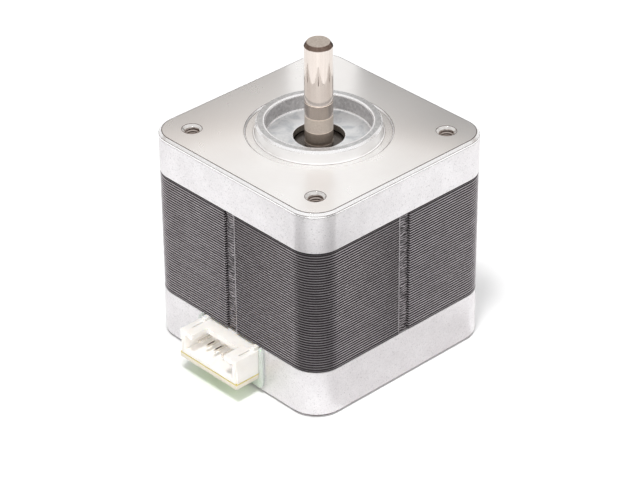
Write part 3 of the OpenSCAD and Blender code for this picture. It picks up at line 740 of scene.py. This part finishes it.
def arc_profile(centre_r, centre_z, radius, start, end, finish):
    """Rows along an arc between two angles, in degrees from the outward direction."""
    rows = []
    for i in range(ARC_STEPS + 1):
        a = math.radians(start + (end - start) * i / ARC_STEPS)
        rows.append((centre_r + radius * math.cos(a), centre_z + radius * math.sin(a), finish))
    return rows


def circle_at(x, y, steps):
    """A function that gives a circle's points round a centre for a radius."""
    turns = [2 * math.pi * i / steps for i in range(steps)]
    return lambda r: [(x + r * math.cos(a), y + r * math.sin(a)) for a in turns]


def turned_by(points, quarter):
    """Points turned about the shaft's axis by quarters of a turn."""
    turn = quarter * math.pi / 2
    return [
        (x * math.cos(turn) - y * math.sin(turn), x * math.sin(turn) + y * math.cos(turn))
        for x, y in points
    ]


# Front cover

def body_outline(inset):
    """Points round the cover's outline, moved inwards by an inset."""
    middle = FRONT[1].x - COVER_CORNER
    radius = COVER_CORNER - inset
    points = []
    for quarter in range(4):
        turn = quarter * math.pi / 2
        x = middle * (math.cos(turn) - math.sin(turn))
        y = middle * (math.sin(turn) + math.cos(turn))
        for i in range(COVER_CORNER_STEPS + 1):
            a = turn + i * math.pi / 2 / COVER_CORNER_STEPS
            points.append((x + radius * math.cos(a), y + radius * math.sin(a)))
    return points


def cover_edge_profile():
    """From the plate's rim down the outside: a bevel, a bright land, a fine line and the cast side."""
    return profile(
        0, 0,
        (0.66, 0, CAST),
        (0.50, -0.04, LINE),
        (0.08, -0.42, BRIGHT),
        (0.03, -0.47, LINE),
        (0.01, -0.52, BRIGHT),
        (0.01, -0.76, BRIGHT),
        (0.06, -0.79, LINE),
        (0.06, -0.84, LINE),
        (0.01, -0.88, CAST),
        (0, -1.00, CAST),
    ) + profile(0, COVER_UNDER, (0, 0.10, CAST), (0.10, 0, CAST))


def pilot_profile():
    """From the plate over the groove and up the pilot ring to its rim."""
    return profile(
        GROOVE_R, 0,
        (0, 0, CAST),
        (-0.06, -0.03, LINE),
        (-0.30, -0.28, BRIGHT),
        (-0.36, -0.30, LINE),
    ) + profile(
        PILOT_R, -GROOVE_DEPTH,
        (0.42, 0, GROOVE),
        (0.36, 0.04, LINE),
        (0.14, 0.06, TURNED),
        (0.08, 0.02, LINE),
        (0, 0.14, TURNED),
    ) + profile(
        PILOT_R, PILOT_TOP,
        (0, -0.40, TURNED),
        (-0.03, -0.34, BRIGHT),
        (-0.32, -0.03, BRIGHT),
        (-0.40, 0, BRIGHT),
        (-0.44, 0, RIM),
    )


def recess_profile():
    """From the pilot's rim down into the recess and over its floor to the shaft's opening."""
    rim_round, foot_round = 0.35 * MM, 0.2 * MM
    rows = profile(RECESS_R, PILOT_TOP, (0.42, 0, RIM))
    rows += arc_profile(RECESS_R + rim_round, PILOT_TOP - rim_round, rim_round, 90, 180, BRIGHT)
    rows += profile(RECESS_R, RECESS_FLOOR, (0, 0.25, WALL))
    rows += arc_profile(RECESS_R - foot_round, RECESS_FLOOR + foot_round, foot_round, 0, -90, BRIGHT)
    opening = ((0.16, 0, FLOOR), (0.03, -0.03, BRIGHT), (0, -0.12, BRIGHT))
    return rows + profile(SHAFT_HOLE_R, RECESS_FLOOR, *opening)


def inside_profile():
    """From the shaft's opening through the bearing seat to the cover's underside."""
    seat_foot = COVER_UNDER + 0.05 * MM
    return [
        (SHAFT_HOLE_R, BEARING_TOP, BORE),
        (BEARING_R, BEARING_TOP, BORE),
        (BEARING_R, seat_foot, TURNED),
        (SEAT_R, seat_foot, CAST),
        (SEAT_R, PLATE_UNDER, CAST),
        (CAVITY_R, PLATE_UNDER, CAST),
        (CAVITY_R, COVER_UNDER, CAST),
    ]


def mounting_hole(skin, x, y):
    """A bevelled blind hole in the plate; gives its loop in the plate."""
    mouth, end = skin.wrap(circle_at(x, y, HOLE_STEPS), [
        (HOLE_MOUTH_R + 0.10 * MM, 0, CAST),
        (HOLE_MOUTH_R, -0.04 * MM, LINE),
        (HOLE_R + 0.05 * MM, -0.44 * MM, MOUTH_BEVEL),
        (HOLE_R, -0.52 * MM, HOLE),
        (HOLE_R, -HOLE_DEPTH, HOLE),
    ])
    skin.flat([end], HOLE)
    return mouth


def tie_tap(skin, x, y):
    """The blind hole for a tie screw, from below; gives its loop in the underside."""
    tap, end = skin.wrap(circle_at(x, y, TAP_STEPS), [(TAP_R, COVER_UNDER, CAST), (TAP_R, TAP_TOP, CAST)])
    skin.flat([end], CAST)
    return tap


def cover_materials():
    """The front cover's finishes, in the order of their numbers."""
    return [
        cast_aluminium("cast_aluminium"),
        milled_plate(),
        turned_pilot(),
        recess_wall_metal(),
        recess_floor_metal(),
        hole_metal(),
        edge_line(),
        bright_edge("bright_edge", (0.90, 0.885, 0.88), (0.97, 0.96, 0.96)),
        grained_rim(),
        turned_groove(),
        bore_metal(),
        bright_edge("mouth_bevel", (0.52, 0.50, 0.485), (0.78, 0.755, 0.735)),
    ]


def front_cover_form():
    """The front cover: milled plate, turned pilot and groove, recess, threaded holes and cast sides."""
    skin = Skin()
    top_edge, bottom_edge = skin.wrap(body_outline, cover_edge_profile())
    rows = pilot_profile() + recess_profile() + inside_profile()
    groove_edge, cavity_edge = skin.wrap(circle_at(0, 0, RING_STEPS), rows)
    mouths, taps = [], []
    for x in (-HOLE_PLACE, HOLE_PLACE):
        for y in (-HOLE_PLACE, HOLE_PLACE):
            mouths.append(mounting_hole(skin, x, y))
            taps.append(tie_tap(skin, x, y))
    skin.flat([top_edge, groove_edge] + mouths, MILLED)
    skin.flat([bottom_edge, cavity_edge] + taps, CAST)
    mesh = skin.finished("front_cover_form")
    made = add_piece("front_cover_form", mesh, "housing", cover_materials())
    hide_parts("front_cover")


def thread_row(x, y, turn):
    """Four corners of the ridge's section after a number of turns; it fades out at both ends."""
    depth, least = 0.16 * MM, 0.02
    sunk, foot, crest = 0.02 * MM, 0.22 * MM, 0.03 * MM
    angle = 2 * math.pi * turn
    level = THREAD_TOP - THREAD_PITCH * turn
    root = HOLE_R + sunk
    tip = HOLE_R - depth * (min(1, turn, THREAD_TURNS - turn) + least)
    section = ((root, foot), (tip, crest), (tip, -crest), (root, -foot))
    return [(x + r * math.cos(angle), y + r * math.sin(angle), level + rise) for r, rise in section]


def threads():
    """Helical thread ridges inside the four mounting holes."""
    work = bmesh.new()
    for x in (-HOLE_PLACE, HOLE_PLACE):
        for y in (-HOLE_PLACE, HOLE_PLACE):
            rows = []
            for i in range(THREAD_TURNS * THREAD_STEPS + 1):
                rows.append([work.verts.new(c) for c in thread_row(x, y, i / THREAD_STEPS)])
            for a, b in zip(rows, rows[1:]):
                for k in range(4):
                    m = (k + 1) % 4
                    work.faces.new((a[k], a[m], b[m], b[k]))
            work.faces.new(rows[0][::-1])
            work.faces.new(rows[-1])
    bmesh.ops.recalc_face_normals(work, faces=work.faces)
    mesh = bpy.data.meshes.new("mounting_threads")
    work.to_mesh(mesh)
    work.free()
    add_piece("mounting_threads", mesh, "housing", [hole_metal()])


# Shaft

def shaft_form():
    """The shaft as one lathe form, with its bevels, relief and ground bands, some in painted shade and
    painted reflection.
    """
    side, bevel, end, seat, ring, collar = range(6)
    bottom, top = SHAFT[0].z, SHAFT[1].z
    tail, bevel_w, bevel_len = 0.3 * MM, 0.5 * MM, 0.8 * MM
    relief_low, relief_high, relief = -1.9 * MM, -1.3 * MM, 0.2 * MM
    # Painted light: the thin ring bands are bright as painted reflections of the cover's bright edges; the
    # seat band, over the relief and up to 0.48 mm, is dark as painted shade of the opening.
    bands = ((0.48, seat), (0.62, ring), (3.15, collar), (3.27, ring), (5.80, side), (5.95, ring))
    skin = Skin()
    low, high = skin.wrap(circle_at(0, 0, RING_STEPS), [
        (SHAFT_R - tail, bottom, side),
        (SHAFT_R, bottom + tail, bevel),
        (SHAFT_R, relief_low, side),
        (SHAFT_R - relief, relief_low, seat),
        (SHAFT_R - relief, relief_high, seat),
        (SHAFT_R, relief_high, seat),
        *[(SHAFT_R, level * MM, finish) for level, finish in bands],
        *profile(SHAFT_R, top - bevel_len, (0, -0.03, side), (-0.03, 0.03, side)),
        *profile(SHAFT_R - bevel_w, top, (0.05, -0.10, bevel), (-0.02, -0.02, end), (-0.10, 0, end)),
    ])
    skin.flat([low], end)
    skin.flat([high], end)
    made = add_piece("shaft_form", skin.finished("shaft_form"), "rotor", [
        polished_steel(),
        turned_steel("shaft_bevel", (0.17, 0.115, 0.09), (0.27, 0.195, 0.16), rough=0.3),
        turned_steel("shaft_end", (0.49, 0.41, 0.345), (0.67, 0.59, 0.52), rough=0.34),
        ground_steel("shaft_seat_shade", (0.27, 0.22, 0.18), (0.35, 0.29, 0.245), metallic=0.45),
        ground_steel("shaft_reflection_ring", (0.88, 0.74, 0.62), (0.97, 0.84, 0.72), metallic=0.15),
        ground_steel("shaft_collar", (0.62, 0.535, 0.46), (0.72, 0.635, 0.56), metallic=0.45),
    ])
    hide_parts("shaft")


# Stack

def sheet_outline(grow):
    """Points round a lamination, notched in the middle of each side, grown by a little."""
    side, half_notch = STACK_HALF + grow, NOTCH_W / 2 - grow
    middle, radius = STACK_HALF - STACK_CORNER, STACK_CORNER + grow
    floor = STACK_HALF - NOTCH_DEPTH + grow
    corner = [i * math.pi / 2 / SHEET_CORNER_STEPS for i in range(SHEET_CORNER_STEPS + 1)]
    quarter = [(floor, -half_notch), (floor, half_notch), (side, half_notch)]
    quarter += [(middle + radius * math.cos(a), middle + radius * math.sin(a)) for a in corner]
    quarter += [(half_notch, side)]
    return [point for i in range(4) for point in turned_by(quarter, i)]


def bead_section():
    """How far out and how high each line of a sheet's rounded edge lies, the height in sheets."""
    inset, proud, half_height, flatness = -0.20 * MM, 0.11 * MM, 0.21, 0.7
    turns = [math.radians(a) for a in (-90, -62, -32, 0, 32, 62, 90)]
    return [(inset + (proud - inset) * math.cos(a) ** flatness, half_height * math.sin(a)) for a in turns]


def lamination_edges():
    """The outer edges of all the laminations, each a round bead with a dark gap to the next."""
    count = round((STACK[1].z - STACK[0].z) / LAMINATION_PITCH)
    unevenness = 0.015
    section = bead_section()
    random.seed(7)
    skin = Skin()
    for i in range(count):
        middle = STACK[0].z + (i + 0.5) * LAMINATION_PITCH
        shift = random.uniform(-unevenness, unevenness) * MM
        rings = [
            skin.loop(sheet_outline(grow + shift), middle + rise * LAMINATION_PITCH)
            for grow, rise in section
        ]
        for low, high in zip(rings, rings[1:] + rings[:1]):
            skin.band(low, high, 0)
    mesh = skin.finished("lamination_edges", angle=50)
    add_piece("lamination_edges", mesh, "housing", [lamination_steel()])


def notch_floors():
    """A welded strip over the floor of each notch, with a thin light lip on the side nearer the corner."""
    strip, lip = range(2)
    sunk, strip_proud, lip_proud = -0.15 * MM, 0.16 * MM, NOTCH_DEPTH + 0.06 * MM
    lip_w, gap = 0.26 * MM, 0.28 * MM
    floor, half = STACK_HALF - NOTCH_DEPTH, NOTCH_W / 2
    bars = ((-half + gap, half - lip_w, strip_proud, strip), (half - lip_w, half, lip_proud, lip))
    skin = Skin()
    for quarter, sign in ((0, -1), (1, 1), (2, -1), (3, 1)):
        for start, end, proud, finish in bars:
            inner, outer = floor + sunk, floor + proud
            box = [(inner, start), (outer, start), (outer, end), (inner, end)]
            points = turned_by([(x, sign * y) for x, y in box], quarter)
            bottom, top = skin.loop(points, STACK[0].z), skin.loop(points, STACK[1].z)
            skin.band(bottom, top, finish)
            skin.flat([bottom], finish)
            skin.flat([top], finish)
    lip_metal = plated_metal("notch_lip", (0.22, 0.205, 0.215), (0.36, 0.34, 0.35), rough=0.34)
    mesh = skin.finished("notch_floors")
    add_piece("notch_floors", mesh, "housing", [notch_steel(), lip_metal])


# Pieces made from the solids

def on_foot_chamfer(centre, normal):
    """1 for the chamfer round the bottom of the rear cover."""
    low = centre.z < FLOOR_Z + 0.6 * MM
    sloping = -0.95 < normal.z < -0.3
    return int(low and sloping)


def in_socket(centre, normal):
    """1 for the faces inside the connector's socket."""
    spare = 0.05 * MM
    aside = abs(centre.x) < HEADER[1].x - HEADER_WALL + spare
    behind = spare < centre.y - HEADER[0].y < SOCKET_DEPTH + spare
    above = -spare < centre.z - HEADER[0].z - HEADER_FLOOR < SOCKET_H + spare
    return int(aside and behind and above)


def rear_cover_form():
    """The rear cover, with its foot darkened as painted contact shadow."""
    # The rear cover's copy is 4% darker all over, as painted shade.
    materials = [cast_aluminium("cast_aluminium_rear", 0.96), foot_shadow_chamfer()]
    softened("rear_cover", materials, 0.15 * MM, on_foot_chamfer)


def header_form():
    """The connector's housing, whose inside glows a little."""
    materials = [ivory_nylon("ivory_nylon", 0.0), ivory_nylon("ivory_nylon_inside", 0.10)]
    softened("connector_housing", materials, 0.08 * MM, in_socket)


def bezel_form():
    """The plate that fills the cut-out round the header."""
    softened("connector_bezel", [bezel_plastic()], 0.15 * MM)


def board_form():
    """The board under the header."""
    softened("connector_board", [board_laminate()], 0.03 * MM)


def tie_screws_form():
    """The four tie screws."""
    zinc = plated_metal("screw_zinc", (0.55, 0.55, 0.56), (0.74, 0.74, 0.75), rough=0.25)
    softened("tie_screws", [zinc], 0.06 * MM)


def pins_form():
    """The connector's pins."""
    softened("connector_pins", [pin_metal()], 0.10 * MM)


# Finishes of the solids that stay

def paint(names, material):
    """Gives CAD nodes that stay as they are a finish."""
    for name in names:
        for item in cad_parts[name].material_slots:
            item.link = "OBJECT"
            item.material = material


def paint_stator():
    """Core, insulators, coils and what joins them to the board."""
    paint(["stator_core"], groove_dark())
    insulator = plain_plastic("insulator", (0.80, 0.78, 0.72), (0.88, 0.86, 0.80), rough=0.4)
    paint(["front_insulator", "rear_insulator"], insulator)
    paint(["phase_a_windings", "phase_b_windings"], enamelled_wire())
    solder = plated_metal("solder", (0.60, 0.60, 0.61), (0.78, 0.78, 0.79), rough=0.22)
    paint(["terminal_posts", "solder_joints"], solder)


def paint_bearings():
    """Both bearings with their spacers, and the washer behind the rear one."""
    ring_steel = plated_metal("bearing_steel", (0.10, 0.087, 0.077), (0.17, 0.15, 0.135), rough=0.22)
    # The shields, seen through the opening round the shaft, are near black partly as painted shade.
    shield_steel = plated_metal("shield_steel", (0.045, 0.035, 0.03), (0.09, 0.072, 0.06), rough=0.35)
    ball_steel = plated_metal("ball_steel", (0.70, 0.70, 0.72), (0.82, 0.82, 0.84), rough=0.08)
    brass = plated_metal("brass", (0.50, 0.36, 0.14), (0.72, 0.56, 0.26), rough=0.25)
    for end in ("front", "rear"):
        paint([end + "_bearing_outer_ring", end + "_bearing_inner_ring"], ring_steel)
        paint([end + "_bearing_shields"], shield_steel)
        paint([end + "_bearing_balls"], ball_steel)
        paint([end + "_bearing_cage", end + "_spacer"], brass)
    spring_steel = plated_metal("spring_steel", (0.22, 0.24, 0.28), (0.34, 0.36, 0.40), rough=0.3)
    paint(["wave_washer"], spring_steel)


def paint_rotor():
    """Toothed cups and the magnet between them."""
    rotor_steel = plated_metal("rotor_steel", (0.22, 0.22, 0.23), (0.34, 0.34, 0.35), rough=0.35)
    paint(["front_rotor_cup", "rear_rotor_cup"], rotor_steel)
    paint(["rotor_magnet"], plain_plastic("magnet", (0.05, 0.05, 0.055), (0.09, 0.09, 0.095), rough=0.4))


# Stage

def area_light(name, place, aim, size, power):
    """A soft rectangular lamp that gloss doesn't see."""
    data = bpy.data.lights.new(name, "AREA")
    data.shape = "RECTANGLE"
    data.size, data.size_y = size
    data.energy = power
    light = bpy.data.objects.new(name, data)
    light.visible_glossy = False
    light.location = place
    light.rotation_euler = (Vector(aim) - Vector(place)).to_track_quat("-Z", "Y").to_euler()
    bpy.context.scene.collection.objects.link(light)


def make_lights():
    """One lamp high over the near corner, two from the sides and one from behind."""
    area_light("key", (0.085, -0.16, 0.52), BODY_MIDDLE, size=(0.12, 0.12), power=2.25)
    area_light("side", (0.50, -0.02, 0.30), BODY_MIDDLE, size=(0.40, 0.40), power=0.85)
    area_light("front", (0.16, -0.50, 0.22), BODY_MIDDLE, size=(0.35, 0.35), power=1.05)
    area_light("high", (0.05, 0.25, 0.60), (0, 0, 0), size=(0.30, 0.20), power=1.2)


def seen_as_white(tree):
    """1 for rays from the camera, from gloss and through clear pieces."""
    path = tree.nodes.new("ShaderNodeLightPath")
    total = path.outputs["Is Camera Ray"]
    for kind in ("Is Glossy Ray", "Is Transmission Ray"):
        larger = tree.nodes.new("ShaderNodeMath")
        larger.operation = "MAXIMUM"
        tree.links.new(total, larger.inputs[0])
        tree.links.new(path.outputs[kind], larger.inputs[1])
        total = larger.outputs[0]
    return total


def make_world():
    """White to the camera and to gloss, plain soft light to the rest."""
    world = bpy.data.worlds.new("studio")
    bpy.context.scene.world = world
    world.use_nodes = True
    tree = world.node_tree
    tree.nodes.clear()
    out = tree.nodes.new("ShaderNodeOutputWorld")
    back = tree.nodes.new("ShaderNodeBackground")
    level = tree.nodes.new("ShaderNodeMapRange")
    level.inputs["To Min"].default_value = WORLD_LEVEL
    level.inputs["To Max"].default_value = 1.0
    tree.links.new(seen_as_white(tree), level.inputs["Value"])
    tree.links.new(level.outputs["Result"], back.inputs["Strength"])
    tree.links.new(back.outputs["Background"], out.inputs["Surface"])


def floor_material():
    """Pale floor that keeps shadows near the part and reads white far out."""
    n = Nodes("floor_material")
    grain = n.noise(4 * MM, detail=2)
    n.colour(n.spread(grain, 0.93, 0.95))
    n.put(Roughness=0.6)
    white = n.add("ShaderNodeEmission")
    both = n.add("ShaderNodeMixShader")
    under, beside, near, far = 0.035, 0.06, 0.13, 0.7
    stops = ((under, FLOOR_WHITE / 3), (beside, FLOOR_WHITE), (near, FLOOR_WHITE), (far, 1.0))
    share = n.ramp(n.radius(), *stops)
    n.link(n.calc("MULTIPLY", seen_as_white(n.tree), share), both.inputs["Fac"])
    n.link(n.shader.outputs["BSDF"], both.inputs[1])
    n.link(white.outputs["Emission"], both.inputs[2])
    n.link(both.outputs["Shader"], n.output.inputs["Surface"])
    return n.material


def make_floor():
    """A plain floor just under the part."""
    half = 1.5
    level = FLOOR_Z - FLOOR_DROP
    mesh = bpy.data.meshes.new("floor")
    corners = [(-half, -half), (half, -half), (half, half), (-half, half)]
    mesh.from_pydata([(x, y, level) for x, y in corners], [], [(0, 1, 2, 3)])
    floor = bpy.data.objects.new("floor", mesh)
    bpy.context.scene.collection.objects.link(floor)
    mesh.materials.append(floor_material())


def card_material(name, level, fade, tint):
    """An even grey; with fade, it turns white between two levels."""
    n = Nodes(name)
    grain = n.noise(20 * MM, detail=1)
    grey = n.spread(grain, scaled(tint, level * 0.95), scaled(tint, level * 1.05))
    if fade:
        _, _, z = n.axes()
        rise = n.share_of(z, fade[0], fade[1] - fade[0])
        half_way = scaled(tint, (1 + level) / 2)
        lighter = n.ramp(rise, (0.0, scaled(tint, level)), (0.5, half_way), (1.0, 1.0))
        grey = n.mix(grey, lighter, 1.0)
    glow = n.add("ShaderNodeEmission")
    n.link(grey, glow.inputs["Color"])
    n.link(glow.outputs["Emission"], n.output.inputs["Surface"])
    return n.material


def card_object(name, corners, faces, level, fade=None, tint=WARM):
    """A grey card that only gloss sees."""
    mesh = bpy.data.meshes.new(name)
    mesh.from_pydata([tuple(c) for c in corners], [], faces)
    mesh.materials.append(card_material(name, level, fade, tint))
    made = bpy.data.objects.new(name, mesh)
    bpy.context.scene.collection.objects.link(made)
    for kind in ("camera", "diffuse", "transmission", "volume_scatter", "shadow"):
        setattr(made, "visible_" + kind, False)


def round_the_camera(turn):
    """The level direction at an angle in degrees from the camera's."""
    away = CAMERA_TURN + math.radians(turn)
    return Vector((math.sin(away), -math.cos(away), 0))


def upright_card(name, turn, distance, heights, width, level, fade=None):
    """A card that stands facing the axis, between two heights."""
    out = round_the_camera(turn)
    along = out.cross(Vector((0, 0, 1))) * (width / 2)
    low, high = heights
    corners = [
        out * distance + along * side + Vector((0, 0, z))
        for side, z in ((-1, low), (1, low), (1, high), (-1, high))
    ]
    card_object(name, corners, [(0, 1, 2, 3)], level, fade)


def floor_card(name, turns, near, far, level, tint=WARM):
    """A ring sector lying just over the floor, between two angles and two distances."""
    lift = Vector((0, 0, FLOOR_Z + CARD_LIFT))
    angles = [turns[0] + (turns[1] - turns[0]) * i / CARD_STEPS for i in range(CARD_STEPS + 1)]
    corners = [round_the_camera(a) * r + lift for r in (near, far) for a in angles]
    faces = [(i, i + 1, CARD_STEPS + 2 + i, CARD_STEPS + 1 + i) for i in range(CARD_STEPS)]
    card_object(name, corners, faces, level, tint=tint)


def make_cards():
    """Cards for the bands on the near corner, the plate's bevels, the plate and the rear cover."""
    near_heights = (-22 * MM, 26 * MM)
    side_heights = (20 * MM, 58 * MM)
    for side in (-1, 1):
        upright_card("corner_card", side * 42, 78 * MM, near_heights, width=56 * MM, level=0.10)
        floor_card("side_floor_card", (side * 20, side * 60), 46 * MM, 86 * MM, level=0.03)
        upright_card("high_side_card", side * 90, 110 * MM, side_heights, width=96 * MM, level=0.30)
    floor_card("middle_floor_card", (-20, 20), 50 * MM, 79 * MM, level=0.03)
    floor_card("right_floor_card", (10, 84), 21 * MM, 42 * MM, level=0.90, tint=NEUTRAL)
    back, width = 43 * MM, 34 * MM
    left_heights, left_fade = (1 * MM, 29 * MM), (16 * MM, 29 * MM)
    right_heights, right_fade = (1 * MM, 32 * MM), (20.5 * MM, 31 * MM)
    upright_card("back_left_card", 180 + 29, back, left_heights, width, level=0.08, fade=left_fade)
    upright_card("back_right_card", 180 - 31, back, right_heights, width, level=0.01, fade=right_fade)


make_camera()
make_world()
make_floor()
make_lights()
make_cards()

front_cover_form()
shaft_form()
rear_cover_form()
header_form()
bezel_form()
board_form()
tie_screws_form()
pins_form()
lamination_edges()
notch_floors()
threads()

paint_stator()
paint_bearings()
paint_rotor()

bpy.context.scene.view_settings.view_transform = "Standard"
bpy.context.view_layer.update()
